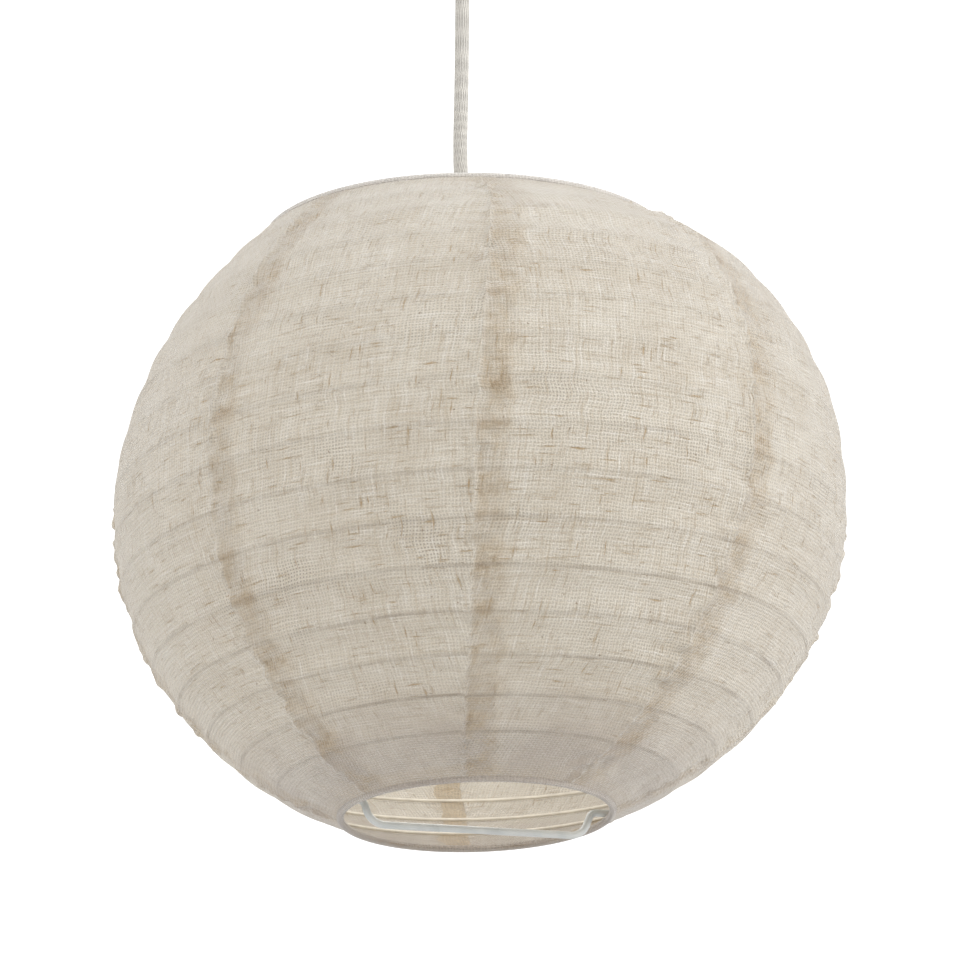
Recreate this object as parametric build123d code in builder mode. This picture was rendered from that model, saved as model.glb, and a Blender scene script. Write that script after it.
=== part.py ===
"""A pendant lantern: eight sewn gores of linen gauze over fifteen loose wire hoops.

Millimetres, +Z up.  The origin is the middle of the ceiling face, and the lamp hangs below it.
The wire spreader, the lamp holder and the bulb share one upright axis at x = LAMP_X.
The shade sits loose on the spreader, with its own axis at x = SHADE_X.
Heights named *_H are measured from the shade's equator, at z = EQUATOR_Z.
"""

from build123d import *
from math import asin, atan2, cos, degrees, pi, radians, sin, sqrt, tan
import os

os.makedirs("parts", exist_ok=True)

# ---- driving dimensions -------------------------------------------------------------------
EQUATOR_Z = -340.0
LAMP_X = -4.6
SHADE_X = -3.0

SHADE_R = 175.0          # at the equator
DOME_B = 165.6           # height of the upper half's ellipse, were it whole
BOWL_B = 160.1           # depth of the lower half's ellipse, were it whole
TOP_H = 138.0            # plane of the top ring
BOTTOM_H = -149.0        # plane of the bottom ring
FABRIC_T = 0.5

HOOPS = 15
HOOP_D = 1.7
FIRST_HOOP_ARC = 33.0    # along the cloth, from the bottom ring to the first hoop
HOOP_PITCH = 21.5        # along the cloth, from hoop to hoop
SEAM_ANGLES = (-18, 28, 75, 122, 168, 210, 251, 296)   # degrees round from -Y towards +X

RING_D = 2.5
HEM_T = 0.5
FRAME_D = 3.5

BULB_R = 30.0
CORD_D = 7.0
CUP_R = 50.0
CUP_H = 47.0
PIVOT_Z = -48.0          # where the hanging cord leaves the cup

CLEAR = 0.3              # between pieces that move apart


# ---- the shade's outline --------------------------------------------------------------------
def shade_b(h):
    """Half height of the ellipse that the shade follows at height h."""
    return DOME_B if h > 0 else BOWL_B


def shade_r(h):
    """Radius of the cloth's middle surface at height h."""
    return SHADE_R * sqrt(1 - (h / shade_b(h)) ** 2)


def shade_normal(h):
    """Outward direction (radial, upward) of the cloth at height h."""
    n_r = shade_r(h) / SHADE_R**2
    n_h = h / shade_b(h) ** 2
    size = sqrt(n_r**2 + n_h**2)
    return n_r / size, n_h / size


def climb(arc, step=0.25):
    """Height reached after going a distance arc up the cloth from the bottom ring."""
    h = BOTTOM_H
    while arc > 0:
        n_r, n_h = shade_normal(h)
        h += min(step, arc) * n_r
        arc -= step
    return h


HOOP_H = [climb(FIRST_HOOP_ARC + i * HOOP_PITCH) for i in range(HOOPS)]
RING_TOP_R = shade_r(TOP_H)
RING_BOTTOM_R = shade_r(BOTTOM_H)
HEM_R = RING_D / 2 + HEM_T
HOOP_INSET = FABRIC_T / 2 + CLEAR + HOOP_D / 2

SHADE_AXIS = Axis((SHADE_X, 0, 0), (0, 0, 1))
LAMP_AXIS = Axis((LAMP_X, 0, 0), (0, 0, 1))
SHADE_SECTION = Plane((SHADE_X, 0, EQUATOR_Z), x_dir=(1, 0, 0), z_dir=(0, -1, 0))
LAMP_SECTION = Plane((LAMP_X, 0, EQUATOR_Z), x_dir=(1, 0, 0), z_dir=(0, -1, 0))
CEILING_SECTION = Plane((0, 0, 0), x_dir=(1, 0, 0), z_dir=(0, -1, 0))


def save(part, name):
    part.label = name
    export_step(part, f"parts/{name}.step")


def lamp_plane(h):
    """Horizontal plane at height h on the lamp's axis."""
    return Plane((LAMP_X, 0, EQUATOR_Z + h))


# ---- hoops: plain rings of coated wire, loose inside the cloth --------------------------------
for number, height in enumerate(HOOP_H, start=1):
    out_r, out_h = shade_normal(height)
    with BuildPart() as hoop:
        with BuildSketch(SHADE_SECTION):
            with Locations((shade_r(height) - HOOP_INSET * out_r, height - HOOP_INSET * out_h)):
                Circle(HOOP_D / 2)
        revolve(axis=SHADE_AXIS)
    save(hoop.part, f"hoop_{number:02d}")


# ---- end rings, each in the sleeve of its hem ---------------------------------------------------
for end, ring_r, ring_h in (("top", RING_TOP_R, TOP_H), ("bottom", RING_BOTTOM_R, BOTTOM_H)):
    with BuildPart() as ring:
        with BuildSketch(SHADE_SECTION):
            with Locations((ring_r, ring_h)):
                Circle(RING_D / 2)
        revolve(axis=SHADE_AXIS)
    save(ring.part, f"{end}_ring")

    with BuildPart() as hem:
        with BuildSketch(SHADE_SECTION):
            with Locations((ring_r, ring_h)):
                Circle(HEM_R)
                Circle(RING_D / 2, mode=Mode.SUBTRACT)
        revolve(axis=SHADE_AXIS)
    save(hem.part, f"{end}_hem")


# ---- gores: eight panels of gauze, sewn edge to edge -----------------------------------------------
def arc_angle(b, h):
    """Angle round an ellipse of half height b at which it reaches height h."""
    return degrees(asin(h / b))


GORE_TOP_H = TOP_H - HEM_R - CLEAR
GORE_BOTTOM_H = BOTTOM_H + HEM_R + CLEAR
HALF_T = FABRIC_T / 2

for number, start in enumerate(SEAM_ANGLES, start=1):
    end = SEAM_ANGLES[number % len(SEAM_ANGLES)]
    width = (end - start) % 360
    turn = radians(start - 90)
    section = Plane(SHADE_SECTION.origin, x_dir=(cos(turn), sin(turn), 0), z_dir=(sin(turn), -cos(turn), 0))
    with BuildPart() as gore:
        with BuildSketch(section):
            with BuildLine():
                for grow in (HALF_T, -HALF_T):
                    r, up, down = SHADE_R + grow, DOME_B + grow, BOWL_B + grow
                    rise, fall = arc_angle(up, GORE_TOP_H), arc_angle(down, GORE_BOTTOM_H)
                    EllipticalCenterArc((0, 0), r, up, 0, arc_size=rise)
                    EllipticalCenterArc((0, 0), r, down, fall, arc_size=-fall)
                for h in (GORE_TOP_H, GORE_BOTTOM_H):
                    b = shade_b(h)
                    ends = [
                        (SHADE_R + grow) * sqrt(1 - (h / (b + grow)) ** 2) for grow in (HALF_T, -HALF_T)
                    ]
                    Line((ends[0], h), (ends[1], h))
            make_face()
        revolve(axis=SHADE_AXIS, revolution_arc=width)
    save(gore.part, f"gore_{number}")


# ---- spreader: one wire that pushes the top ring up and the bottom ring down -----------------------
BAR_H = -157.0                      # the bar that crosses under the bottom ring
LEG_X = 69.3                        # the folding shade's bottom ring rises between the legs
WIRE_R = FRAME_D / 2
SHOULDER_H = BOTTOM_H + HEM_R + WIRE_R + 0.1
SEAT_H = TOP_H - HEM_R - WIRE_R - 0.1
HOLDER_H = 128.0                    # plane of the loop that the lamp holder is clamped in

bar = [
    ((-57.6, SHOULDER_H), 3.8),     # shoulder turns in, over the bottom ring
    ((-54.5, BAR_H), 9.5),          # bar's ends turn up, inside the bottom ring
    ((50.0, BAR_H), 9.0),
    ((55.0, SHOULDER_H), 3.8),
]
leg = [
    ((LEG_X, SHOULDER_H), 3.6),     # leg turns up
    ((LEG_X, 112.0), 12.0),         # leg turns out towards the top ring
    ((85.0, 141.0), 3.6),           # crest that keeps the ring from sliding in
    ((90.0, SEAT_H), 3.0),          # dip that the top ring sits on
]
TIP_X = 97.5                        # from the shade's axis, so each tip ends under the top ring
SHIFT = SHADE_X - LAMP_X
tips = [(SHIFT - TIP_X, SEAT_H), (SHIFT + TIP_X, SEAT_H)]
corners = [((-x, h), r) for (x, h), r in reversed(leg)] + bar + leg
with BuildPart() as spreader_frame:
    with BuildLine(LAMP_SECTION) as wire_path:
        FilletPolyline(
            tips[0], *[point for point, _ in corners], tips[1], radius=[r for _, r in corners]
        )
    with BuildSketch(Plane(wire_path.wire() @ 0, z_dir=wire_path.wire() % 0)):
        Circle(WIRE_R)
    sweep()
save(spreader_frame.part, "spreader_frame")

BODY_R = 19.8                       # crest of the holder's outer thread
LOOP_R = BODY_R + 0.4 + WIRE_R
WELD = 1.2                          # the arms end this deep in the legs
with BuildPart() as holder_loop:
    with BuildSketch(LAMP_SECTION):
        with Locations((LOOP_R, HOLDER_H)):
            Circle(WIRE_R)
    revolve(axis=LAMP_AXIS)
    for side in (-1, 1):
        arm = Plane(
            (LAMP_X + side * LOOP_R, 0, EQUATOR_Z + HOLDER_H), x_dir=(0, 1, 0), z_dir=(side, 0, 0)
        )
        with BuildSketch(arm):
            Circle(WIRE_R)
        extrude(amount=LEG_X - WIRE_R + WELD - LOOP_R)
save(holder_loop.part, "holder_loop")


# ---- lamp holder --------------------------------------------------------------------------------------
SKIRT_H = 97.0                      # lower rim of the holder's body
SHOULDER_TOP_H = HOLDER_H + WIRE_R  # the holder's flange rests on the loop
FLANGE_T = 2.4
FLANGE_R = 24.0
BORE_R = 16.6
FLOOR_H = 124.0
CAP_TOP_H = 153.0
CAP_WALL = 2.2
GRIP_TOP_H = 158.0
THREAD_PITCH = 2.6

with BuildPart() as holder_body:
    with BuildSketch(LAMP_SECTION):
        with BuildLine():
            Polyline(
                (CORD_D / 2 + 4, FLOOR_H),
                (BORE_R, FLOOR_H),
                (BORE_R, SKIRT_H),
                (BODY_R, SKIRT_H),
                (BODY_R, SHOULDER_TOP_H),
                (FLANGE_R, SHOULDER_TOP_H),
                (FLANGE_R, SHOULDER_TOP_H + FLANGE_T),
                (CORD_D / 2 + 4, SHOULDER_TOP_H + FLANGE_T),
                close=True,
            )
        make_face()
    revolve(axis=LAMP_AXIS)
    with BuildSketch(LAMP_SECTION):
        for turn_no in range(9):
            with Locations((BODY_R + 0.2, SKIRT_H + 4 + turn_no * THREAD_PITCH)):
                Rectangle(1.6, 1.1)
    revolve(axis=LAMP_AXIS, mode=Mode.SUBTRACT)
save(holder_body.part, "holder_body")

with BuildPart() as holder_cap:
    base_h = SHOULDER_TOP_H + FLANGE_T
    with BuildSketch(LAMP_SECTION) as cap_section:
        with BuildLine():
            Line((FLANGE_R - CAP_WALL, base_h), (FLANGE_R, base_h))
            Line((FLANGE_R, base_h), (FLANGE_R, base_h + 6))
            TangentArc((FLANGE_R, base_h + 6), (FLANGE_R - 13, CAP_TOP_H), tangent=(0, 1))
            Polyline((FLANGE_R - 13, CAP_TOP_H), (5.6, CAP_TOP_H), (5.6, CAP_TOP_H - CAP_WALL))
            Line((5.6, CAP_TOP_H - CAP_WALL), (FLANGE_R - 13, CAP_TOP_H - CAP_WALL))
            TangentArc(
                (FLANGE_R - CAP_WALL, base_h + 6), (FLANGE_R - 13, CAP_TOP_H - CAP_WALL), tangent=(0, 1)
            )
            Line((FLANGE_R - CAP_WALL, base_h + 6), (FLANGE_R - CAP_WALL, base_h))
        make_face()
    revolve(axis=LAMP_AXIS)
save(holder_cap.part, "holder_cap")

with BuildPart() as cord_grip:
    with BuildSketch(lamp_plane(CAP_TOP_H - CAP_WALL - 2.0)):
        Circle(7.4)
        Circle(CORD_D / 2, mode=Mode.SUBTRACT)
    extrude(amount=2.0)
    with BuildSketch(lamp_plane(CAP_TOP_H - CAP_WALL)):
        Circle(5.6)
        Circle(CORD_D / 2, mode=Mode.SUBTRACT)
    extrude(amount=CAP_WALL)
    with BuildSketch(lamp_plane(CAP_TOP_H)):
        RegularPolygon(8.4, 6)
        Circle(CORD_D / 2, mode=Mode.SUBTRACT)
    extrude(amount=GRIP_TOP_H - CAP_TOP_H)
    chamfer(cord_grip.faces().sort_by(Axis.Z)[-1].edges().filter_by(GeomType.LINE), 0.8)
save(cord_grip.part, "cord_grip")

INSERT_T = 4.0
with BuildPart() as holder_insert:
    with BuildSketch(lamp_plane(FLOOR_H - INSERT_T)):
        Circle(BORE_R)
        Circle(3.0, mode=Mode.SUBTRACT)
        with Locations((11.5, 0), (-11.5, 0)):
            Circle(1.6, mode=Mode.SUBTRACT)
    extrude(amount=INSERT_T)
save(holder_insert.part, "holder_insert")

CAP_TIP_H = FLOOR_H - INSERT_T - 2.2     # highest point of the bulb's tip contact
LEAF_T = 0.5
with BuildPart() as centre_contact:
    with BuildSketch(lamp_plane(CAP_TIP_H + 0.1)):
        Rectangle(12, 5)
    extrude(amount=LEAF_T)
    with BuildSketch(lamp_plane(CAP_TIP_H + 0.1 + LEAF_T)):
        with Locations((4.5, 0)):
            Rectangle(3, 5)
    extrude(amount=FLOOR_H - INSERT_T - CAP_TIP_H - 0.1 - LEAF_T)
save(centre_contact.part, "centre_contact")

E27_R = 13.1
CONTACT_H = 108.0
with BuildPart() as side_contact:
    leaf = Plane((LAMP_X, E27_R + CLEAR, EQUATOR_Z + CONTACT_H), x_dir=(1, 0, 0), z_dir=(0, 1, 0))
    with BuildSketch(leaf):
        Rectangle(6, 8)
    extrude(amount=LEAF_T)
    with BuildSketch(lamp_plane(CONTACT_H + 4)):
        with Locations((0, E27_R + CLEAR + LEAF_T / 2)):
            Rectangle(6, LEAF_T)
    extrude(amount=FLOOR_H - INSERT_T - CONTACT_H - 4)
save(side_contact.part, "side_contact")

NUT_R = 23.0
NUT_FLANGE_R = 27.5
NUT_H = 11.0
with BuildPart() as shade_ring:
    with BuildSketch(LAMP_SECTION):
        with BuildLine():
            top_h = HOLDER_H - WIRE_R - 0.05
            Polyline(
                (BODY_R + 0.05, top_h),
                (NUT_FLANGE_R, top_h),
                (NUT_FLANGE_R, top_h - 2.4),
                (NUT_R, top_h - 2.4),
                (NUT_R, top_h - NUT_H),
                (BODY_R + 0.05, top_h - NUT_H),
                close=True,
            )
        make_face()
    revolve(axis=LAMP_AXIS)
    with BuildSketch(lamp_plane(top_h - NUT_H)):
        with PolarLocations(NUT_R + 0.3, 24):
            Circle(0.8)
    extrude(amount=NUT_H - 2.4, mode=Mode.SUBTRACT)
save(shade_ring.part, "shade_ring")


# ---- bulb: a 60 mm globe on a medium screw cap -------------------------------------------------------------
SCREW_BOTTOM_H = 96.0
SCREW_TOP_H = 114.0
NECK_R = 14.5
GLOBE_H = 43.0
SCREW_PITCH = 3.6

with BuildPart() as bulb_cap:
    with BuildSketch(LAMP_SECTION):
        with BuildLine():
            Polyline(
                (0, SCREW_BOTTOM_H),
                (E27_R, SCREW_BOTTOM_H),
                (E27_R, SCREW_TOP_H),
                (8.0, SCREW_TOP_H + 1.5),
                (0, SCREW_TOP_H + 1.5),
                close=True,
            )
        make_face()
    revolve(axis=LAMP_AXIS)
    with BuildSketch(LAMP_SECTION):
        for turn_no in range(4):
            with Locations((E27_R + 0.5, SCREW_BOTTOM_H + 4 + turn_no * SCREW_PITCH)):
                Circle(1.4)
    revolve(axis=LAMP_AXIS, mode=Mode.SUBTRACT)
save(bulb_cap.part, "bulb_cap")

with BuildPart() as bulb_tip:
    with BuildSketch(LAMP_SECTION):
        with BuildLine():
            Polyline(
                (0, SCREW_TOP_H + 1.5),
                (4.8, SCREW_TOP_H + 1.5),
                (3.4, CAP_TIP_H),
                (0, CAP_TIP_H),
                close=True,
            )
        make_face()
    revolve(axis=LAMP_AXIS)
save(bulb_tip.part, "bulb_tip")

JOIN_ANGLE = 50.0                    # where the globe meets the neck, up from its equator
join_r = BULB_R * cos(radians(JOIN_ANGLE))
join_h = GLOBE_H + BULB_R * sin(radians(JOIN_ANGLE))
with BuildPart() as bulb_neck:
    with BuildSketch(LAMP_SECTION):
        with BuildLine():
            Line((0, join_h), (join_r, join_h))
            TangentArc(
                (join_r, join_h),
                (NECK_R, SCREW_BOTTOM_H - 2),
                tangent=(-sin(radians(JOIN_ANGLE)), cos(radians(JOIN_ANGLE))),
            )
            Polyline(
                (NECK_R, SCREW_BOTTOM_H - 2), (NECK_R - 1.4, SCREW_BOTTOM_H), (0, SCREW_BOTTOM_H), (0, join_h)
            )
        make_face()
    revolve(axis=LAMP_AXIS)
save(bulb_neck.part, "bulb_neck")

with BuildPart() as bulb_globe:
    with BuildSketch(LAMP_SECTION):
        with BuildLine():
            Line((0, GLOBE_H - BULB_R), (0, join_h))
            Line((0, join_h), (join_r, join_h))
            CenterArc((0, GLOBE_H), BULB_R, -90, 90 + JOIN_ANGLE)
        make_face()
    revolve(axis=LAMP_AXIS)
save(bulb_globe.part, "bulb_globe")


# ---- cord: hangs from the cup, leaning a little, and ends inside the holder's cap ---------------------------
CORD_END_H = 146.0
cord_points = [                      # (x, z), from inside the holder's cap up to the pivot
    (LAMP_X, EQUATOR_Z + CORD_END_H),
    (LAMP_X, EQUATOR_Z + 164.0),
    (LAMP_X - 0.1, EQUATOR_Z + 187.0),
    (LAMP_X + 2.2, EQUATOR_Z + 228.0),
    (0.0, PIVOT_Z),
]


def turn_radii(points):
    """The largest arc at each corner: 0.45 of the shorter run over the tangent of half the turn."""
    radii = []
    for before, here, after in zip(points, points[1:], points[2:]):
        run_in = Vector(*here) - Vector(*before)
        run_out = Vector(*after) - Vector(*here)
        half_turn = radians(run_in.get_angle(run_out)) / 2
        radii.append(0.45 * min(run_in.length, run_out.length) / tan(half_turn))
    return radii


cord_radii = turn_radii(cord_points)
print("cord radii", [round(r) for r in cord_radii])
with BuildPart() as cord:
    with BuildLine(CEILING_SECTION) as cord_path:
        FilletPolyline(*cord_points, radius=cord_radii)
    with BuildSketch(Plane(cord_path.wire() @ 0, z_dir=(0, 0, 1))):
        Circle(CORD_D / 2)
    sweep()
cord_length = cord_path.wire().length
print("cord length", round(cord_length, 1), "volume ratio", cord.part.volume / (pi * CORD_D**2 / 4 * cord_length))
with BuildPart() as cord_head:
    with Locations((0, 0, PIVOT_Z)):
        Sphere(CORD_D / 2)
save(cord.part + cord_head.part, "cord")

TAIL_TOP_Z = -12.0
TAIL_BOTTOM_Z = PIVOT_Z + CORD_D / 2 + CLEAR
with BuildPart() as cord_tail:
    with BuildSketch(Plane.XY.offset(TAIL_BOTTOM_Z)):
        Circle(CORD_D / 2)
    extrude(amount=TAIL_TOP_Z - TAIL_BOTTOM_Z)
save(cord_tail.part, "cord_tail")


# ---- ceiling cup and what it hides -----------------------------------------------------------------------------
STRAP_L = 88.0
STRAP_W = 20.0
STRAP_T = 1.5
TAB_H = 16.0
HOLE_SPACING = 60.0
HOLE_R = 2.5
CUP_SCREW_Z = -11.0

with BuildPart() as ceiling_bracket:
    with BuildSketch(Plane.XY.offset(-STRAP_T)):
        Rectangle(STRAP_L, STRAP_W)
        with Locations((-HOLE_SPACING / 2, 0), (HOLE_SPACING / 2, 0)):
            Circle(HOLE_R, mode=Mode.SUBTRACT)
    extrude(amount=STRAP_T)
    with BuildSketch(Plane.XY.offset(-TAB_H)):
        with Locations((-STRAP_L / 2 + STRAP_T / 2, 0), (STRAP_L / 2 - STRAP_T / 2, 0)):
            Rectangle(STRAP_T, STRAP_W)
    extrude(amount=TAB_H)
    with BuildSketch(Plane.YZ.offset(-STRAP_L / 2)):
        with Locations((0, CUP_SCREW_Z)):
            Circle(2.0)
    extrude(amount=STRAP_L, mode=Mode.SUBTRACT)
    outer_bends = ceiling_bracket.edges().filter_by(Axis.Y).group_by(Axis.Z)[-1]
    fillet(outer_bends, 1.2)
save(ceiling_bracket.part, "ceiling_bracket")

CUP_WALL = 1.2
with BuildPart() as canopy_cup:
    with BuildSketch():
        Circle(CUP_R)
    extrude(amount=-CUP_H)
    fillet(canopy_cup.faces().sort_by(Axis.Z)[0].edges(), 7.0)
    offset(amount=-CUP_WALL, openings=canopy_cup.faces().sort_by(Axis.Z)[-1])
    with BuildSketch(Plane.XY.offset(-CUP_H)):
        Circle(8.0)
    extrude(amount=CUP_WALL * 2, mode=Mode.SUBTRACT)
    with BuildSketch(Plane.YZ.offset(-CUP_R)):
        with Locations((0, CUP_SCREW_Z)):
            Circle(2.2)
    extrude(amount=2 * CUP_R, mode=Mode.SUBTRACT)
save(canopy_cup.part, "canopy_cup")

with BuildPart() as cup_screws:
    for side in (-1, 1):
        shank = Plane((side * (STRAP_L / 2 - 4.0), 0, CUP_SCREW_Z), x_dir=(0, 1, 0), z_dir=(side, 0, 0))
        with BuildSketch(shank):
            Circle(2.0)
        extrude(amount=CUP_R - STRAP_L / 2 + 4.0)
        head = Plane((side * CUP_R, 0, CUP_SCREW_Z), x_dir=(0, 1, 0), z_dir=(side, 0, 0))
        with BuildSketch(head):
            Circle(3.8)
        extrude(amount=2.2)
        with BuildSketch(head.offset(2.2)):
            Rectangle(0.9, 6.0)
        extrude(amount=-1.0, mode=Mode.SUBTRACT)
save(cup_screws.part, "cup_screws")

BUSH_BORE_R = 5.2
with BuildPart() as cup_bush:
    with BuildSketch(CEILING_SECTION):
        with BuildLine():
            Polyline(
                (BUSH_BORE_R, -CUP_H - 4.0),
                (10.5, -CUP_H - 2.0),
                (10.5, -CUP_H),
                (8.0, -CUP_H),
                (8.0, -CUP_H + CUP_WALL),
                (9.6, -CUP_H + CUP_WALL),
                (8.0, -CUP_H + 4.0),
                (BUSH_BORE_R, -CUP_H + 4.0),
                close=True,
            )
        make_face()
    revolve(axis=Axis.Z)
save(cup_bush.part, "cup_bush")

CLAMP_L = 26.0
CLAMP_W = 11.0
with BuildPart() as cord_clamp:
    with BuildSketch(Plane.XY.offset(-STRAP_T)):
        Rectangle(CLAMP_L, CLAMP_W)
    extrude(amount=-20.0)
    fillet(cord_clamp.edges().filter_by(Axis.Z), 2.0)
    with BuildSketch(Plane.XY.offset(-STRAP_T - 20.0)):
        Circle(CORD_D / 2)
        with Locations((-9.0, 0), (9.0, 0)):
            Circle(1.5)
    extrude(amount=20.0 + STRAP_T + TAIL_TOP_Z, mode=Mode.SUBTRACT)
    with BuildSketch(Plane.XY.offset(TAIL_TOP_Z)):
        with Locations((-9.0, 0), (9.0, 0)):
            Circle(1.5)
    extrude(amount=-STRAP_T - TAIL_TOP_Z, mode=Mode.SUBTRACT)
    with BuildSketch(Plane.XY.offset(TAIL_TOP_Z)):
        Rectangle(6.0, CLAMP_W)
    extrude(amount=6.0, mode=Mode.SUBTRACT)
save(cord_clamp.part, "cord_clamp")

with BuildPart() as clamp_screws:
    for x in (-9.0, 9.0):
        with BuildSketch(Plane((x, 0, -STRAP_T))):
            Circle(1.5)
        extrude(amount=-20.0)
        with BuildSketch(Plane((x, 0, -STRAP_T - 20.0))):
            Circle(2.8)
            Rectangle(4.4, 0.7, mode=Mode.SUBTRACT)
        extrude(amount=-1.8)
save(clamp_screws.part, "clamp_screws")

BLOCK_Y = 26.0
with BuildPart() as terminal_block:
    for x in (-5.0, 5.0):
        with BuildSketch(Plane((x, BLOCK_Y, -6.0))):
            Rectangle(8.4, 17.0)
        extrude(amount=-12.0)
        with BuildSketch(Plane((x, BLOCK_Y - 8.5, -12.0), x_dir=(1, 0, 0), z_dir=(0, 1, 0))):
            Circle(1.8)
        extrude(amount=17.0, mode=Mode.SUBTRACT)
        with BuildSketch(Plane((x, BLOCK_Y, -18.0))):
            with Locations((0, -4.5), (0, 4.5)):
                Circle(1.6)
        extrude(amount=4.0, mode=Mode.SUBTRACT)
    with BuildSketch(Plane((0, BLOCK_Y, -6.0))):
        Rectangle(4.0, 6.0)
    extrude(amount=-8.0)
save(terminal_block.part, "terminal_block")

with BuildPart() as terminal_screws:
    for x in (-5.0, 5.0):
        for y in (-4.5, 4.5):
            with BuildSketch(Plane((x, BLOCK_Y + y, -17.0))):
                Circle(1.6)
                Rectangle(2.6, 0.6, mode=Mode.SUBTRACT)
            extrude(amount=1.0)
            with BuildSketch(Plane((x, BLOCK_Y + y, -16.0))):
                Circle(1.6)
            extrude(amount=2.0)
save(terminal_screws.part, "terminal_screws")

LEAD_D = 2.0
with BuildPart() as lead_wires:
    for side in (-1, 1):
        with BuildLine() as lead_path:
            FilletPolyline(
                (side * 1.6, 0, TAIL_TOP_Z),
                (side * 1.6, 0, TAIL_TOP_Z + 4.5),
                (side * 1.6, 8.5, TAIL_TOP_Z + 4.5),
                (side * 5.0, 12.0, -12.0),
                (side * 5.0, BLOCK_Y - 4.0, -12.0),
                radius=[2.6, 2.4, 2.4],
            )
        with BuildSketch(Plane(lead_path.wire() @ 0, z_dir=(0, 0, 1))):
            Circle(LEAD_D / 2)
        sweep(path=lead_path.wire())
save(lead_wires.part, "lead_wires")
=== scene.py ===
from math import atan2, cos, pi, radians, sin, sqrt

import bmesh
import bpy
from mathutils import Matrix, Vector, noise


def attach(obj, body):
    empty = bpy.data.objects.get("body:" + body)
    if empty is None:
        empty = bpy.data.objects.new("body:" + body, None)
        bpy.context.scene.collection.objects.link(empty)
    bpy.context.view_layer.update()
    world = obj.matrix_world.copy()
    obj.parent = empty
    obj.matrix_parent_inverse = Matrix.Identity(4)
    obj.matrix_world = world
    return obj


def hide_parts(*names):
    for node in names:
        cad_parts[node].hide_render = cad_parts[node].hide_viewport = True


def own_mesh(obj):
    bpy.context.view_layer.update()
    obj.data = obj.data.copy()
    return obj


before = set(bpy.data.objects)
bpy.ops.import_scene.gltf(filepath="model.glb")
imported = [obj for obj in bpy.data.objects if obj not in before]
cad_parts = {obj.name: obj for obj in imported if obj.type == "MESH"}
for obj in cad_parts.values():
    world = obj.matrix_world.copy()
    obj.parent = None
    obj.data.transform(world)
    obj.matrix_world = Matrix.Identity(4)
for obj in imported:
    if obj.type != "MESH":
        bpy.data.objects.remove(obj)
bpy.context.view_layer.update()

mm = 0.001

# ---- Viewpoint -------------------------------------------------------------------------
# The lamp is seen from below and a little to one side of the spreader's bar, from well
# back with a long lens. It hangs a shade off plumb, so the camera is rolled to suit.
EQUATOR = Vector((-1.3 * mm, 0.0, -340.0 * mm))
azimuth, elevation, roll = radians(-19.0), radians(-18.27), radians(1.83)
distance = 14.0 * 175.0 * mm

back = Vector((sin(azimuth) * cos(elevation), -cos(azimuth) * cos(elevation), sin(elevation)))
right = Vector((cos(azimuth), sin(azimuth), 0.0))
up = back.cross(right)
camera = bpy.data.objects.new("camera", bpy.data.cameras.new("camera"))
camera.data.lens = 192.2
camera.data.sensor_width = 36.0
camera.data.shift_x = 0.0020
camera.data.shift_y = 0.0340
camera.data.clip_end = 50.0
turned_right = right * cos(roll) - up * sin(roll)
turned_up = up * cos(roll) + right * sin(roll)
turn = Matrix((turned_right, turned_up, back)).transposed()
camera.matrix_world = Matrix.Translation(EQUATOR + back * distance) @ turn.to_4x4()
bpy.context.scene.collection.objects.link(camera)
bpy.context.scene.camera = camera
bpy.context.scene.view_settings.view_transform = "Standard"

# ---- Cord --------------------------------------------------------------------------------
# Round two-core cable, 7 mm thick, in a sleeve of off-white braided yarn. It hangs from the
# bush in the ceiling cup, leans a little, and goes down through the grip nut.


class Value:
    """One number that varies over a surface, written with ordinary arithmetic."""

    def __init__(self, material, socket):
        self.material, self.socket = material, socket

    def maths(self, operation, *others):
        made = self.material.node("ShaderNodeMath", {"operation": operation}, self, *others)
        return Value(self.material, made.outputs[0])

    def __add__(self, other):
        return self.maths("ADD", other)

    def __radd__(self, other):
        return self.maths("ADD", other)

    def __sub__(self, other):
        return self.maths("SUBTRACT", other)

    def __rsub__(self, other):
        return (self * -1.0).maths("ADD", other)

    def __mul__(self, other):
        return self.maths("MULTIPLY", other)

    def __rmul__(self, other):
        return self.maths("MULTIPLY", other)

    def __truediv__(self, other):
        return self.maths("DIVIDE", other)


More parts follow.
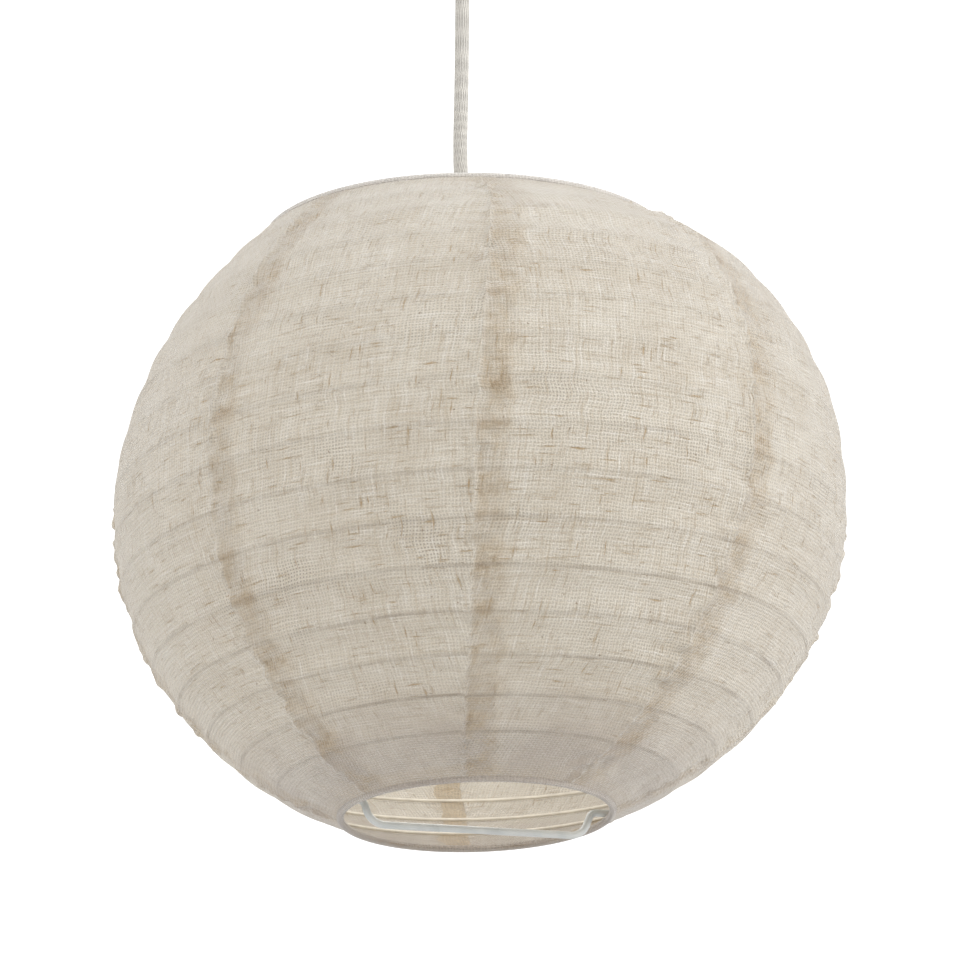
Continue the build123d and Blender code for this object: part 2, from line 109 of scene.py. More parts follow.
class Finish:
    """A material under construction: a Principled shader and what feeds it."""

    def __init__(self, name, **constants):
        self.material = bpy.data.materials.new(name)
        self.material.use_nodes = True
        self.tree = self.material.node_tree
        self.shader = self.tree.nodes["Principled BSDF"]
        for key, value in constants.items():
            self.shader.inputs[key.replace("_", " ")].default_value = value

    def node(self, kind, settings, *inputs, **named):
        made = self.tree.nodes.new(kind)
        for key, value in settings.items():
            setattr(made, key, value)
        for key, value in [*enumerate(inputs), *named.items()]:
            socket = made.inputs[key if isinstance(key, int) else key.replace("_", " ")]
            if isinstance(value, Value):
                self.tree.links.new(value.socket, socket)
            elif isinstance(value, bpy.types.NodeSocket):
                self.tree.links.new(value, socket)
            else:
                socket.default_value = value
        return made

    def feed(self, key, value):
        self.tree.links.new(value.socket if isinstance(value, Value) else value, self.shader.inputs[key])

    def split(self, vector):
        parts = self.node("ShaderNodeSeparateXYZ", {}, vector)
        return [Value(self, parts.outputs[i]) for i in range(3)]

    def join(self, x, y, z=0.0):
        return self.node("ShaderNodeCombineXYZ", {}, x, y, z).outputs[0]

    def place(self, kind):
        return self.node("ShaderNodeTexCoord", {}).outputs[kind]

    def attribute(self, name):
        return Value(self, self.node("ShaderNodeAttribute", {"attribute_name": name}).outputs["Fac"])

    def cloud(self, at, scale, detail=2.0, roughness=0.5):
        made = self.node("ShaderNodeTexNoise", {}, Vector=at, Scale=scale, Detail=detail, Roughness=roughness)
        return Value(self, made.outputs["Fac"])

    def step(self, value, low, high, start=0.0, end=1.0):
        made = self.node(
            "ShaderNodeMapRange", {"interpolation_type": "SMOOTHSTEP"}, value, low, high, start, end
        )
        return Value(self, made.outputs[0])

    def tint(self, amount, first, second):
        """The first colour turned towards the second by amount."""
        made = self.node("ShaderNodeMix", {"data_type": "RGBA"})
        for index, value in ((0, amount), (6, first), (7, second)):
            if isinstance(value, tuple):
                made.inputs[index].default_value = (*value, 1.0)
            elif isinstance(value, (int, float)):
                made.inputs[index].default_value = value
            else:
                self.tree.links.new(value.socket if isinstance(value, Value) else value, made.inputs[index])
        return made.outputs[2]

    def raise_by(self, height, distance, strength=1.0):
        made = self.node("ShaderNodeBump", {}, Strength=strength, Distance=distance, Height=height)
        self.feed("Normal", made.outputs[0])


def finish_nodes(finish, *nodes):
    """Gives CAD nodes a finish."""
    for name in nodes:
        piece = bpy.data.objects[name]
        for slot in piece.material_slots:
            slot.material = finish.material


CORD_D = 7.0 * mm
LAMP_X = -4.6 * mm
PIVOT_Z = -48.0 * mm
cord_route = [
    (LAMP_X, 0.0, EQUATOR.z + 146.0 * mm),
    (LAMP_X, 0.0, EQUATOR.z + 164.0 * mm),
    (LAMP_X - 0.1 * mm, 0.0, EQUATOR.z + 187.0 * mm),
    (LAMP_X + 2.2 * mm, 0.0, EQUATOR.z + 228.0 * mm),
    (0.0, 0.0, PIVOT_Z),
]
CORD_LENGTH = 0.146
cord_curve = bpy.data.curves.new("cord_sleeve", "CURVE")
cord_curve.dimensions = "3D"
cord_curve.bevel_depth = CORD_D / 2.0
cord_curve.bevel_resolution = 7
cord_curve.resolution_u = 12
cord_curve.use_fill_caps = True
spline = cord_curve.splines.new("NURBS")
spline.points.add(len(cord_route) - 1)
for point, place in zip(spline.points, cord_route):
    point.co = (*place, 1.0)
spline.order_u = 3
spline.use_endpoint_u = True
cord_sleeve = bpy.data.objects.new("cord_sleeve", cord_curve)
bpy.context.scene.collection.objects.link(cord_sleeve)


def braided_yarn(name, length, around, pitch):
    """Flat braid: two sets of yarns that cross, around of them each way, pitch long a turn."""
    finish = Finish(name, Roughness=0.9)
    u, v, _ = finish.split(finish.place("UV"))
    along = u * (length / pitch)
    leaning_left = ((v * around + along) * (2.0 * pi)).maths("COSINE")
    leaning_right = ((v * around - along) * (2.0 * pi)).maths("COSINE")
    over = ((along * 2.0 * pi).maths("COSINE")).maths("GREATER_THAN", 0.0)
    yarn = leaning_left * over + leaning_right * (1.0 - over)
    crossing = leaning_left.maths("MAXIMUM", leaning_right)
    height = crossing * 0.5 + yarn * 0.5
    mottle = finish.cloud(finish.place("Object"), 900.0, 3.0)
    # Painted shade: the braid is coloured darker where the yarns sink between crossings.
    shade = finish.step(height, -0.9, 0.9, 0.0, 1.0)
    colour = finish.tint(shade, (0.50, 0.475, 0.430), (0.66, 0.635, 0.585))
    colour = finish.tint(finish.step(mottle, 0.35, 0.7, 0.0, 0.35), colour, (0.72, 0.70, 0.66))
    finish.feed("Base Color", colour)
    finish.raise_by(height + mottle * 0.6, 0.35 * mm)
    return finish


YARNS_ROUND = 18.0
BRAID_PITCH = 13.0 * mm
TAIL_LENGTH = 32.0 * mm
cord_braid = braided_yarn("cord_braid", CORD_LENGTH, YARNS_ROUND, BRAID_PITCH)
cord_curve.materials.append(cord_braid.material)
finish_nodes(braided_yarn("cord_tail_braid", TAIL_LENGTH, YARNS_ROUND, BRAID_PITCH), "cord_tail")
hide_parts("cord")
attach(cord_sleeve, "pendant")

# ---- Light and floor ---------------------------------------------------------------------
# An even white studio: a bright surround, a broad soft lamp on the right, and a pale floor
# well below the lantern. A faint light inside stands in for what the cloth lets through.
world = bpy.data.worlds.new("studio")
world.use_nodes = True
world.node_tree.nodes["Background"].inputs["Color"].default_value = (1.0, 1.0, 1.0, 1.0)
world.node_tree.nodes["Background"].inputs["Strength"].default_value = 1.38
bpy.context.scene.world = world

soft_box = bpy.data.objects.new("soft_box", bpy.data.lights.new("soft_box", "AREA"))
soft_box.data.shape = "DISK"
soft_box.data.size = 1.4
soft_box.data.energy = 18.0
soft_box.location = (1.7, -1.0, 0.1)
soft_box.rotation_euler = (Vector(soft_box.location) - EQUATOR).to_track_quat("Z", "Y").to_euler()
bpy.context.scene.collection.objects.link(soft_box)


def new_piece(name, work, material):
    """Turns a worked mesh into a piece of its own, with one material."""
    data = bpy.data.meshes.new(name)
    work.to_mesh(data)
    work.free()
    data.materials.append(material)
    piece = bpy.data.objects.new(name, data)
    bpy.context.scene.collection.objects.link(piece)
    return piece


FLOOR_Z = -1.9
floor_mesh = bmesh.new()
bmesh.ops.create_circle(floor_mesh, cap_ends=True, segments=96, radius=6.0)
bmesh.ops.translate(floor_mesh, verts=floor_mesh.verts, vec=(0.0, 0.0, FLOOR_Z))
floor_paint = Finish("floor_paint", Base_Color=(0.58, 0.575, 0.57, 1.0), Roughness=0.9)
floor = new_piece("floor", floor_mesh, floor_paint.material)

inside_fill = bpy.data.objects.new("inside_fill", bpy.data.lights.new("inside_fill", "POINT"))
inside_fill.data.energy = 0.34
inside_fill.data.use_shadow = False
inside_fill.data.shadow_soft_size = 0.05
inside_fill.location = (EQUATOR.x, 45.0 * mm, EQUATOR.z - 50.0 * mm)
bpy.context.scene.collection.objects.link(inside_fill)

# ---- Gores ---------------------------------------------------------------------------------
# Eight panels of open linen gauze, cut on the straight grain and sewn edge to edge with the
# seam allowances inside. Between hoops the cloth draws in, and it puckers along the seams.
SHADE_X = -3.0 * mm
SHADE_R = 175.0 * mm
DOME_B = 165.6 * mm
BOWL_B = 160.1 * mm
TOP_H = 138.0 * mm
BOTTOM_H = -149.0 * mm
HOOPS = 15
FIRST_HOOP_ARC = 33.0 * mm
HOOP_PITCH = 21.5 * mm
SEAM_ANGLES = (-18, 28, 75, 122, 168, 210, 251, 296)
SEAM_SHIFT = (0.0, -0.5, 0.6, -0.8, 0.5, -0.4, 0.8, 1.6)
YARN_PITCH = 1.58 * mm
HEM_FOLD = 9.5 * mm
SEAM_WAVER = radians(2.0)
GORE_ROWS = 200
GORE_COLUMNS = 64


def half_height(h):
    return DOME_B if h > 0.0 else BOWL_B


def cloth_r(h):
    return SHADE_R * sqrt(max(0.0, 1.0 - (h / half_height(h)) ** 2))


def cloth_normal(h):
    n_r, n_h = cloth_r(h) / SHADE_R**2, h / half_height(h) ** 2
    size = sqrt(n_r * n_r + n_h * n_h)
    return n_r / size, n_h / size


def profile_heights(step):
    """Heights reached every step up the cloth from the bottom ring to the top ring."""
    heights = [BOTTOM_H]
    while heights[-1] < TOP_H:
        heights.append(heights[-1] + step * cloth_normal(heights[-1])[0])
    return heights


FINE = 0.25 * mm
fine_heights = profile_heights(FINE)
ARC = (len(fine_heights) - 1) * FINE


def height_at(arc):
    """Height of the point that lies arc up the cloth from the bottom ring."""
    place = min(max(arc / FINE, 0.0), len(fine_heights) - 1.001)
    low = int(place)
    return fine_heights[low] + (fine_heights[low + 1] - fine_heights[low]) * (place - low)


def between(value, low, high):
    """Smooth step from 0 at low to 1 at high."""
    share = min(1.0, max(0.0, (value - low) / (high - low)))
    return share * share * (3.0 - 2.0 * share)


def sideways(h):
    """The worn shade hangs askew: its hoops sit to one side above, and to the other below."""
    lean = -3.6 + 3.3 * between(h, -150.0 * mm, -100.0 * mm) + 3.1 * between(h, -110.0 * mm, 5.0 * mm)
    return (lean + 1.9 * between(h, 0.0, 60.0 * mm) - 4.7 * between(h, 112.0 * mm, 138.0 * mm)) * mm


def rocked(h, angle):
    """The top ring rocks forward on the spreader's two tips, and takes the cloth by it along."""
    return -4.8 * mm * cos(angle - radians(12.0)) * between(h, 98.0 * mm, 138.0 * mm)


def ripple(x, y, z=0.0):
    return noise.noise(Vector((x, y, z)))


def round_ripple(angle, reach, along):
    """Noise that closes on itself right round the shade."""
    return ripple(reach * cos(angle), reach * sin(angle), along)


def seam_angle(number, arc):
    """Where seam number runs: it leans back towards the lower ring and wavers at each hoop."""
    which, turns = number % 8, 360 * (number // 8)
    down = 1.0 - arc / ARC
    lean = 3.2 - 8.6 * down + 1.2 * ripple(which * 3.7, down * 2.0)
    hold = sin(pi * min(1.0, 4.0 * min(down, 1.0 - down)) / 2.0)
    waver = 0.6 * ripple(which * 5.1, arc / (8.0 * mm)) * hold
    return radians(SEAM_ANGLES[which] + turns + SEAM_SHIFT[which] * hold + lean + waver)


def cloth_lift(arc, angle, from_seam, seam):
    """How far the cloth stands off its smooth outline at a point."""
    span = (arc - FIRST_HOOP_ARC) / HOOP_PITCH
    if span < 0.0:
        free = sin(pi * arc / FIRST_HOOP_ARC) ** 2
    elif span > HOOPS - 1:
        free = sin(pi * min(1.0, (span - HOOPS + 1) / 1.15)) ** 2
    else:
        free = sin(pi * span) ** 2
    dip = (0.75 + 0.7 * round_ripple(angle, 3.0, round(span - 0.5) * 7.3)) * free
    near = 2.718 ** (-from_seam / (10.0 * mm))
    pucker = 3.0 * near * ripple(from_seam / (6.0 * mm), arc / (5.5 * mm), seam * 9.1)
    swell = 0.35 * round_ripple(angle, 9.0, arc / (28.0 * mm))
    crease = 0.22 * round_ripple(angle, 34.0, 9.0 + arc / (16.0 * mm))
    ridge = 0.9 * 2.718 ** (-((from_seam / (1.2 * mm)) ** 2)) * (1.0 + ripple(seam * 2.0, arc / (4.0 * mm)))
    return ((pucker + swell + crease) * (0.35 + 0.65 * free) + ridge - dip) * mm


def cloth_point(arc, angle, lift):
    h = height_at(arc)
    out_r, out_h = cloth_normal(h)
    r = cloth_r(h) + lift * out_r
    centre = Vector((SHADE_X, 0.0, EQUATOR.z + rocked(h, angle))) + right * sideways(h)
    return centre + Vector((r * sin(angle), -r * cos(angle), h + lift * out_h))


def gauze(name, see_through, glow, turned=0.0, turned_colour=(0.5, 0.4, 0.3)):
    """Open plain weave of uneven cream yarn with brown slubs. UV is the flat cloth in metres."""
    finish = Finish(name, Roughness=0.95, Sheen_Weight=1.0, Sheen_Roughness=0.32)
    flat = finish.place("UV")
    u, v, _ = finish.split(flat)
    pitch = YARN_PITCH
    warp_at = u / pitch + (finish.cloud(flat, 60.0, 3.0) - 0.5) * 2.0
    weft_at = v / pitch + (finish.cloud(finish.join(u + 3.0, v), 60.0, 3.0) - 0.5) * 2.0
    warp_no, weft_no = warp_at.maths("FLOOR"), weft_at.maths("FLOOR")
    warp_body = ((warp_at - 0.5) * (2.0 * pi)).maths("COSINE") * 0.5 + 0.5
    weft_body = ((weft_at - 0.5) * (2.0 * pi)).maths("COSINE") * 0.5 + 0.5
    turn = ((warp_no + weft_no) * 0.5).maths("FRACT").maths("GREATER_THAN", 0.25)
    warp_high = warp_body * (turn * 0.5 + 0.5)
    weft_high = weft_body * ((1.0 - turn) * 0.5 + 0.5)
    height = warp_high.maths("MAXIMUM", weft_high)
    open_cloth = finish.step(finish.cloud(finish.join(u + 7.0, v), 19.0, 4.0, 0.6), 0.50, 0.74)
    # Painted shade: the gaps between the yarns are coloured dark, for the shade seen through the open weave.
    gap = finish.step(warp_body.maths("MAXIMUM", weft_body), 0.15, 0.62, 1.0, 0.0)
    gap = gap * (open_cloth * 0.70 + 0.30) * see_through

    patch = finish.cloud(finish.join(u + 11.0, v), 24.0, 5.0, 0.62)
    warp_streak = finish.cloud(finish.join(u * 760.0, v * 34.0, 1.0), 1.0, 4.0, 0.65)
    weft_streak = finish.cloud(finish.join(u * 34.0, v * 760.0, 2.0), 1.0, 4.0, 0.65)
    warp_slub = finish.step(finish.cloud(finish.join(u * 620.0, v * 75.0, 3.0), 1.0, 4.0, 0.6), 0.575, 0.70)
    weft_slub = finish.step(finish.cloud(finish.join(u * 75.0, v * 620.0, 4.0), 1.0, 4.0, 0.6), 0.575, 0.70)
    fleck = finish.step(finish.cloud(finish.join(u + 5.0, v), 430.0, 2.0, 0.5), 0.69, 0.76)

    grain = finish.cloud(flat, 1350.0, 3.0, 0.6)

    cream, pale, greige = (0.750, 0.710, 0.632), (0.930, 0.915, 0.880), (0.590, 0.535, 0.455)
    colour = finish.tint(finish.step(patch, 0.40, 0.66, 0.0, 0.65), cream, greige)
    colour = finish.tint(finish.step(warp_streak, 0.53, 0.70, 0.0, 0.85), colour, pale)
    colour = finish.tint(finish.step(weft_streak, 0.53, 0.70, 0.0, 0.85), colour, pale)
    colour = finish.tint(finish.step(weft_streak, 0.46, 0.28, 0.0, 0.85), colour, (0.470, 0.385, 0.285))
    colour = finish.tint(finish.step(warp_streak, 0.46, 0.28, 0.0, 0.85), colour, (0.490, 0.400, 0.285))
    # Painted shade: the weave is coloured darker where the yarns sink below their high points.
    colour = finish.tint(finish.step(height, 0.45, 1.0, 0.40, 0.0), colour, (0.500, 0.450, 0.380))
    colour = finish.tint(finish.step(grain, 0.55, 0.75, 0.0, 0.6), colour, pale)
    colour = finish.tint(finish.step(grain, 0.46, 0.28, 0.0, 0.6), colour, (0.420, 0.355, 0.275))
    slub = warp_slub.maths("MAXIMUM", weft_slub)
    colour = finish.tint(slub * finish.step(patch, 0.34, 0.58, 0.45, 1.0), colour, (0.390, 0.270, 0.140))
    colour = finish.tint(fleck * 0.85, colour, (0.170, 0.105, 0.055))

    # Painted shade: the cloth is turned darker and mauve towards the lower ring.
    low_down = finish.step(v, 18.0 * mm, 78.0 * mm, 0.74, 0.0)
    colour = finish.tint(low_down * finish.step(patch, 0.3, 0.6, 0.6, 1.2), colour, (0.420, 0.365, 0.325))
    seam = finish.attribute("from_left_seam")
    blotch = finish.cloud(finish.join(u, v, 3.0), 62.0, 5.0, 0.7)
    # Painted shade: a darker brown band beside each seam, where the allowance inside holds back the light
    # through the cloth, with darker blotches in it.
    allowance = finish.step(seam, 10.0 * mm, 20.0 * mm, 1.0, 0.0) * finish.step(seam, 0.4 * mm, 2.4 * mm)
    allowance = allowance * finish.step(blotch, 0.40, 0.64, 0.15, 1.0)
    colour = finish.tint(allowance * 0.65, colour, (0.480, 0.370, 0.235))
    colour = finish.tint(allowance * finish.step(blotch, 0.56, 0.68, 0.0, 0.7), colour, (0.290, 0.200, 0.115))
    hem = finish.attribute("hem")
    colour = finish.tint(hem * finish.step(blotch, 0.3, 0.6, 0.15, 0.5), colour, (0.470, 0.390, 0.300))
    colour = finish.tint(turned, colour, turned_colour)
    # Painted shadow: thin dark lines where the hoops behind the cloth hold back the light, patchy and
    # stronger low down.
    bend = (finish.cloud(finish.join(u, v, 8.0), 14.0, 1.0) - 0.5) * 0.16
    off_hoop = (((v - FIRST_HOOP_ARC) / HOOP_PITCH + bend + 0.5).maths("FRACT") - 0.5).maths("ABSOLUTE")
    hoop = finish.step(off_hoop, 0.015, 0.060, 1.0, 0.0) * finish.attribute("hoop_shadow")
    hoop = hoop * finish.step(blotch, 0.36, 0.56, 0.35, 1.25)
    colour = finish.tint(hoop, colour, (0.330, 0.280, 0.230))
    knot = finish.step(off_hoop, 0.02, 0.20, 1.0, 0.0) * finish.step(seam, 5.0 * mm, 22.0 * mm, 1.0, 0.0)
    knot = knot * finish.step(finish.cloud(finish.join(u, v, 6.0), 38.0, 4.0, 0.65), 0.46, 0.62)
    colour = finish.tint(knot * 0.5, colour, (0.380, 0.275, 0.165))
    # Painted shade in the gaps between the yarns.
    colour = finish.tint(gap, colour, (0.250, 0.220, 0.180))
    finish.feed("Base Color", colour)
    finish.raise_by(height + slub * 0.6 + warp_streak * 0.5 + grain * 0.5, 0.42 * mm, 1.0)

    dark = slub.maths("MAXIMUM", gap).maths("MAXIMUM", allowance) * 0.5
    dark = dark.maths("MAXIMUM", finish.step(height, 0.45, 1.0, 0.35, 0.0))
    dark = dark.maths("MAXIMUM", finish.step(grain, 0.46, 0.28, 0.0, 0.4)).maths("MAXIMUM", low_down * 0.75)
    through = finish.node("ShaderNodeBsdfTranslucent", {})
    through.inputs["Color"].default_value = (0.660, 0.600, 0.500, 1.0)
    shown = (1.0 - dark) * glow
    blend = finish.node("ShaderNodeMixShader", {}, shown, finish.shader.outputs[0], through.outputs[0])
    finish.tree.links.new(blend.outputs[0], finish.tree.nodes["Material Output"].inputs[0])
    return finish


gore_gauze = gauze("linen_gauze", 0.90, 0.42)
gores = []
for number in range(8):
    panel = bmesh.new()
    bmesh.ops.create_grid(panel, x_segments=GORE_COLUMNS, y_segments=GORE_ROWS, size=1.0, calc_uvs=False)
    flat_cloth = panel.loops.layers.uv.new("flat_cloth")
    left_seam = panel.verts.layers.float.new("from_left_seam")
    hem_band = panel.verts.layers.float.new("hem")
    painted_hoop_shadow_layer = panel.verts.layers.float.new("hoop_shadow")
    flat_place = {}
    for vertex in panel.verts:
        across, arc = (vertex.co.x + 1.0) / 2.0, (vertex.co.y + 1.0) / 2.0 * ARC
        low, high = seam_angle(number, arc), seam_angle(number + 1, arc)
        angle = low + (high - low) * across
        h = height_at(arc)
        from_left, from_right = (angle - low) * cloth_r(h), (high - angle) * cloth_r(h)
        nearer = min(from_left, from_right)
        lift = cloth_lift(arc, angle, nearer, (number if from_left < from_right else number + 1) % 8)
        edge = min(arc, ARC - arc)
        lift *= min(1.0, edge / (6.0 * mm))
        vertex.co = cloth_point(arc, angle, lift)
        vertex[left_seam] = from_left
        vertex[hem_band] = min(1.0, max(0.0, (HEM_FOLD - edge) / (0.8 * mm)))
        # Strength of the painted hoop shadows: stronger on the lower half, uneven round the shade.
        span = (arc - FIRST_HOOP_ARC) / HOOP_PITCH
        nearest = min(max(round(span), 0), HOOPS - 1)
        low_down = max(0.0, min(1.0, 1.15 - arc / ARC * 1.9)) * 0.55 + 0.06
        uneven = 0.8 + 1.0 * round_ripple(angle, 4.0, nearest * 3.3)
        vertex[painted_hoop_shadow_layer] = low_down * uneven if span > -0.4 else 0.0
        flat_place[vertex] = ((angle - (low + high) / 2.0) * cloth_r(h) + number, arc)
    for face in panel.faces:
        face.smooth = True
        for loop in face.loops:
            loop[flat_cloth].uv = flat_place[loop.vert]
    bmesh.ops.recalc_face_normals(panel, faces=panel.faces)
    area = sum(face.calc_area() for face in panel.faces)
    gore = new_piece(f"gore_cloth_{number + 1}", panel, gore_gauze.material)
    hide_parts(f"gore_{number + 1}")
    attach(gore, "pendant")
    width = (radians((SEAM_ANGLES[(number + 1) % 8] - SEAM_ANGLES[number]) % 360) + SEAM_WAVER) * SHADE_R
    gores.append(gore)

# ---- Seam allowances -----------------------------------------------------------------------
# Inside each seam the raw edges of both gores are laid to one side, 15 mm wide, so a darker
# double strip shows there. They are sewn down at the seam only.
ALLOWANCE = 15.0 * mm
allowance_gauze = gauze("allowance_gauze", 0.9, 0.60, 0.50, (0.720, 0.580, 0.400))
for number in range(8):
    strip = bmesh.new()
    bmesh.ops.create_grid(strip, x_segments=8, y_segments=GORE_ROWS, size=1.0, calc_uvs=False)
    flat_cloth = strip.loops.layers.uv.new("flat_cloth")
    flat_place = {}
    for vertex in strip.verts:
        across = (vertex.co.x + 1.0) / 2.0
        arc = 4.0 * mm + (vertex.co.y + 1.0) / 2.0 * (ARC - 8.0 * mm)
        low = seam_angle(number, arc)
        width = ALLOWANCE * (0.90 + 0.35 * ripple(number * 4.3, arc / (15.0 * mm)))
        reach = 0.3 * mm + across * width
        angle = low + reach / cloth_r(height_at(arc))
        lift = cloth_lift(arc, angle, reach, number % 8) * min(1.0, min(arc, ARC - arc) / (6.0 * mm))
        stand = 0.25 + 0.20 * across * (1.0 + ripple(number * 2.9, arc / (10.0 * mm)))
        vertex.co = cloth_point(arc, angle, lift - stand * mm)
        flat_place[vertex] = (across * width + number + 30.0, arc)
    for face in strip.faces:
        face.smooth = True
        for loop in face.loops:
            loop[flat_cloth].uv = flat_place[loop.vert]
    bmesh.ops.recalc_face_normals(strip, faces=strip.faces)
    area = sum(face.calc_area() for face in strip.faces)
    allowance = new_piece(f"seam_allowance_{number + 1}", strip, allowance_gauze.material)
    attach(allowance, "pendant")
    gores.append(allowance)

# ---- Hoops -----------------------------------------------------------------------------------
# Fifteen loose rings of thin wire in a pale coat, each caught to the inside of the cloth. They
# keep the gores round and stack up when the shade is folded.
HOOP_D = 1.7 * mm
HOOP_INSET = 1.4 * mm


def round_ring(name, ring_r, h, tube_r, finish, sides=14, steps=160, flat_cloth=False):
    """A ring of round section that follows the way the shade hangs, at height h."""
    tube = bmesh.new()
    bmesh.ops.create_circle(tube, segments=sides, radius=tube_r)
    bmesh.ops.rotate(tube, verts=tube.verts, matrix=Matrix.Rotation(pi / 2.0, 3, "X"))
    bmesh.ops.translate(tube, verts=tube.verts, vec=(ring_r, 0.0, h))
    bmesh.ops.spin(
        tube, geom=tube.verts[:] + tube.edges[:], cent=(0, 0, 0), axis=(0, 0, 1), angle=2.0 * pi,
        steps=steps, use_merge=True,
    )
    # Spinning leaves the faces in another order each time, so they are put in order of their corners.
    tube.verts.index_update()
    count = len(tube.verts)
    tube.faces.sort(
        key=lambda face: min(v.index for v in face.verts) * count + max(v.index for v in face.verts)
    )
    if flat_cloth:
        layer = tube.loops.layers.uv.new("flat_cloth")
        for face in tube.faces:
            middle = face.calc_center_median()
            turn = atan2(middle.y, middle.x)
            for loop in face.loops:
                place = loop.vert.co
                here = atan2(place.y, place.x)
                here += 2.0 * pi * round((turn - here) / (2.0 * pi))
                round_it = atan2(place.z - h, place.xy.length - ring_r)
                facing = atan2(middle.z - h, middle.xy.length - ring_r)
                round_it += 2.0 * pi * round((facing - round_it) / (2.0 * pi))
                loop[layer].uv = (here * ring_r + 20.0, round_it * tube_r * 1.6)
    for vertex in tube.verts:
        rock = rocked(h, atan2(vertex.co.x, -vertex.co.y))
        vertex.co += Vector((SHADE_X, 0.0, EQUATOR.z + rock)) + right * sideways(h)
    for face in tube.faces:
        face.smooth = True
    bmesh.ops.recalc_face_normals(tube, faces=tube.faces)
    return new_piece(name, tube, finish.material)


coat = Finish("pale_wire_coat", Roughness=0.5)
coat_tone = coat.cloud(coat.place("Object"), 140.0, 3.0)
coat.feed(
    "Base Color", coat.tint(coat.step(coat_tone, 0.3, 0.7), (0.64, 0.60, 0.52), (0.74, 0.70, 0.61))
)
coat.raise_by(coat.cloud(coat.place("Object"), 2200.0, 2.0), 0.05 * mm)
for hoop in range(1, HOOPS + 1):
    h = height_at(FIRST_HOOP_ARC + (hoop - 1) * HOOP_PITCH)
    out_r, out_h = cloth_normal(h)
    wire = round_ring(
        f"hoop_wire_{hoop:02d}", cloth_r(h) - HOOP_INSET * out_r, h - HOOP_INSET * out_h, HOOP_D / 2.0, coat
    )
    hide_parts(f"hoop_{hoop:02d}")
    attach(wire, f"hoop_{hoop:02d}")

# ---- Hems and end rings ------------------------------------------------------------------------
# At each opening the cloth is turned over a stiff wire ring and stitched down, so a narrow
# sleeve of double gauze shows all round.
HEM_R = 1.75 * mm
END_RING_R = 1.25 * mm
# The top sleeve is tinted pale, painted light against the shade on its underside; the lower sleeve is tinted
# darker, painted shade like the cloth near the lower ring.
top_hem_gauze = gauze("top_hem_gauze", 0.5, 0.10, 0.45, (0.93, 0.91, 0.86))
bottom_hem_gauze = gauze("bottom_hem_gauze", 0.6, 0.10, 0.25, (0.470, 0.400, 0.330))
top_wire = round_ring("top_ring_wire", cloth_r(TOP_H), TOP_H, END_RING_R, coat)
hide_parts("top_ring")
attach(top_wire, "pendant")
top_sleeve = round_ring("top_hem_sleeve", cloth_r(TOP_H), TOP_H, HEM_R, top_hem_gauze, 16, 220, True)
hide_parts("top_hem")
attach(top_sleeve, "pendant")
bottom_sleeve = round_ring(
    "bottom_hem_sleeve", cloth_r(BOTTOM_H), BOTTOM_H, HEM_R, bottom_hem_gauze, 16, 180, True
)
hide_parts("bottom_hem")
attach(bottom_sleeve, "bottom_rim")
bottom_wire = round_ring("bottom_ring_wire", cloth_r(BOTTOM_H), BOTTOM_H, END_RING_R, coat)
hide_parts("bottom_ring")
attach(bottom_wire, "bottom_rim")

# ---- Spreader --------------------------------------------------------------------------------
# One bent wire, 3.5 mm thick, in white stove enamel, with a welded loop for the lamp holder.
# Enamel runs a little thicker and greyer here and there.
enamel = Finish("white_enamel", Roughness=0.33, Specular_IOR_Level=0.5)
enamel_tone = enamel.cloud(enamel.place("Object"), 90.0, 3.0)
# Painted shade: the white enamel is coloured mid grey for the dim inside of the lantern.
enamel.feed(
    "Base Color",
    enamel.tint(enamel.step(enamel_tone, 0.3, 0.7), (0.50, 0.52, 0.51), (0.60, 0.61, 0.59)),
)
enamel.feed("Roughness", enamel.step(enamel_tone, 0.3, 0.7, 0.26, 0.42))
enamel.raise_by(enamel.cloud(enamel.place("Object"), 1300.0, 2.0), 0.05 * mm, 0.6)
finish_nodes(enamel, "spreader_frame", "holder_loop")

# ---- Lamp holder -----------------------------------------------------------------------------
# White thermoplastic screw holder: cap, threaded body and clamp nut, over a porcelain insert
# with sprung brass contacts.
plastic = Finish("gloss_white_plastic", Roughness=0.3)
plastic_tone = plastic.cloud(plastic.place("Object"), 60.0, 2.0)
plastic.feed("Base Color", plastic.tint(plastic_tone, (0.76, 0.76, 0.74), (0.82, 0.82, 0.80)))
plastic.feed("Roughness", plastic.step(plastic_tone, 0.3, 0.7, 0.24, 0.36))
plastic.raise_by(plastic.cloud(plastic.place("Object"), 1800.0, 2.0), 0.02 * mm, 0.5)
porcelain = Finish("glazed_porcelain", Roughness=0.18, Coat_Weight=0.4)
porcelain_tone = porcelain.cloud(porcelain.place("Object"), 200.0, 3.0)
porcelain.feed("Base Color", porcelain.tint(porcelain_tone, (0.78, 0.77, 0.72), (0.86, 0.85, 0.81)))
brass = Finish("sprung_brass", Metallic=1.0, Roughness=0.3)
brass_tone = brass.cloud(brass.place("Object"), 500.0, 3.0)
brass.feed("Base Color", brass.tint(brass_tone, (0.58, 0.42, 0.18), (0.78, 0.62, 0.32)))
brass.feed("Roughness", brass.step(brass_tone, 0.3, 0.7, 0.22, 0.4))
finish_nodes(plastic, "holder_cap", "holder_body", "shade_ring", "cord_grip")
finish_nodes(porcelain, "holder_insert")
finish_nodes(brass, "centre_contact", "side_contact")

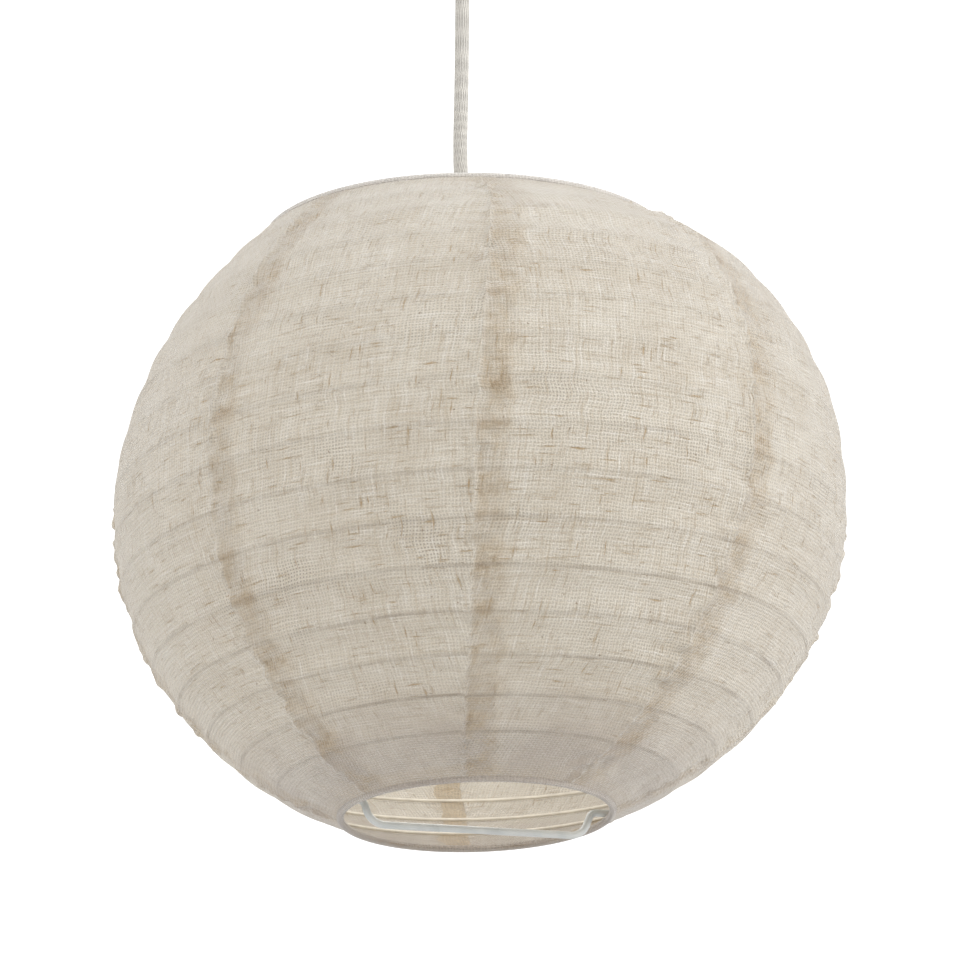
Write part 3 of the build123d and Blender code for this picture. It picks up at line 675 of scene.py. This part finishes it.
# ---- Bulb ------------------------------------------------------------------------------------
# Small round lamp: opal globe with a faint bloom, plastic neck, and a nickelled screw cap with
# a solder tip.
opal = Finish("opal_glass", Roughness=0.22, Subsurface_Weight=0.15, Coat_Weight=0.3)
opal_tone = opal.cloud(opal.place("Object"), 45.0, 2.0)
opal.feed("Base Color", opal.tint(opal_tone, (0.86, 0.85, 0.82), (0.90, 0.89, 0.87)))
nickel = Finish("nickelled_brass", Metallic=1.0, Roughness=0.28)
nickel_tone = nickel.cloud(nickel.place("Object"), 350.0, 3.0)
nickel.feed("Base Color", nickel.tint(nickel_tone, (0.60, 0.58, 0.54), (0.76, 0.74, 0.70)))
nickel.feed("Roughness", nickel.step(nickel_tone, 0.3, 0.7, 0.2, 0.4))
finish_nodes(opal, "bulb_globe")
finish_nodes(plastic, "bulb_neck")
finish_nodes(nickel, "bulb_cap", "bulb_tip")

# ---- Ceiling fitting ---------------------------------------------------------------------------
# A moulded white cup hides a zinc-plated bracket, a cord clamp and a small terminal block with
# its two leads.
zinc = Finish("zinc_plate", Metallic=1.0, Roughness=0.38)
zinc_tone = zinc.cloud(zinc.place("Object"), 260.0, 4.0, 0.65)
zinc.feed("Base Color", zinc.tint(zinc_tone, (0.46, 0.46, 0.45), (0.70, 0.70, 0.68)))
zinc.feed("Roughness", zinc.step(zinc_tone, 0.3, 0.7, 0.3, 0.5))
satin = Finish("satin_white_plastic", Roughness=0.42)
satin_tone = satin.cloud(satin.place("Object"), 40.0, 2.0)
satin.feed("Base Color", satin.tint(satin_tone, (0.74, 0.74, 0.72), (0.80, 0.80, 0.78)))
satin.raise_by(satin.cloud(satin.place("Object"), 2600.0, 2.0), 0.04 * mm, 0.8)
lead_sleeve = Finish("lead_sleeve", Roughness=0.4)
lead_x, lead_y, _ = lead_sleeve.split(lead_sleeve.place("Object"))
lead_sleeve.feed(
    "Base Color",
    lead_sleeve.tint(lead_x.maths("GREATER_THAN", 0.0), (0.06, 0.13, 0.42), (0.22, 0.10, 0.04)),
)
finish_nodes(satin, "canopy_cup", "cup_bush", "cord_clamp", "terminal_block")
finish_nodes(zinc, "ceiling_bracket", "clamp_screws", "cup_screws", "terminal_screws")
finish_nodes(lead_sleeve, "lead_wires")

# ---- Folding -----------------------------------------------------------------------------------
# On the real shade, lifting the lower ring drops the cloth into flat pleats between the hoops; when folded,
# the cloth's height shrinks towards the top ring instead, down to a fifth. Here each gore and seam strip only
# gets a mesh of its own.
for gore in gores:
    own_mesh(gore)
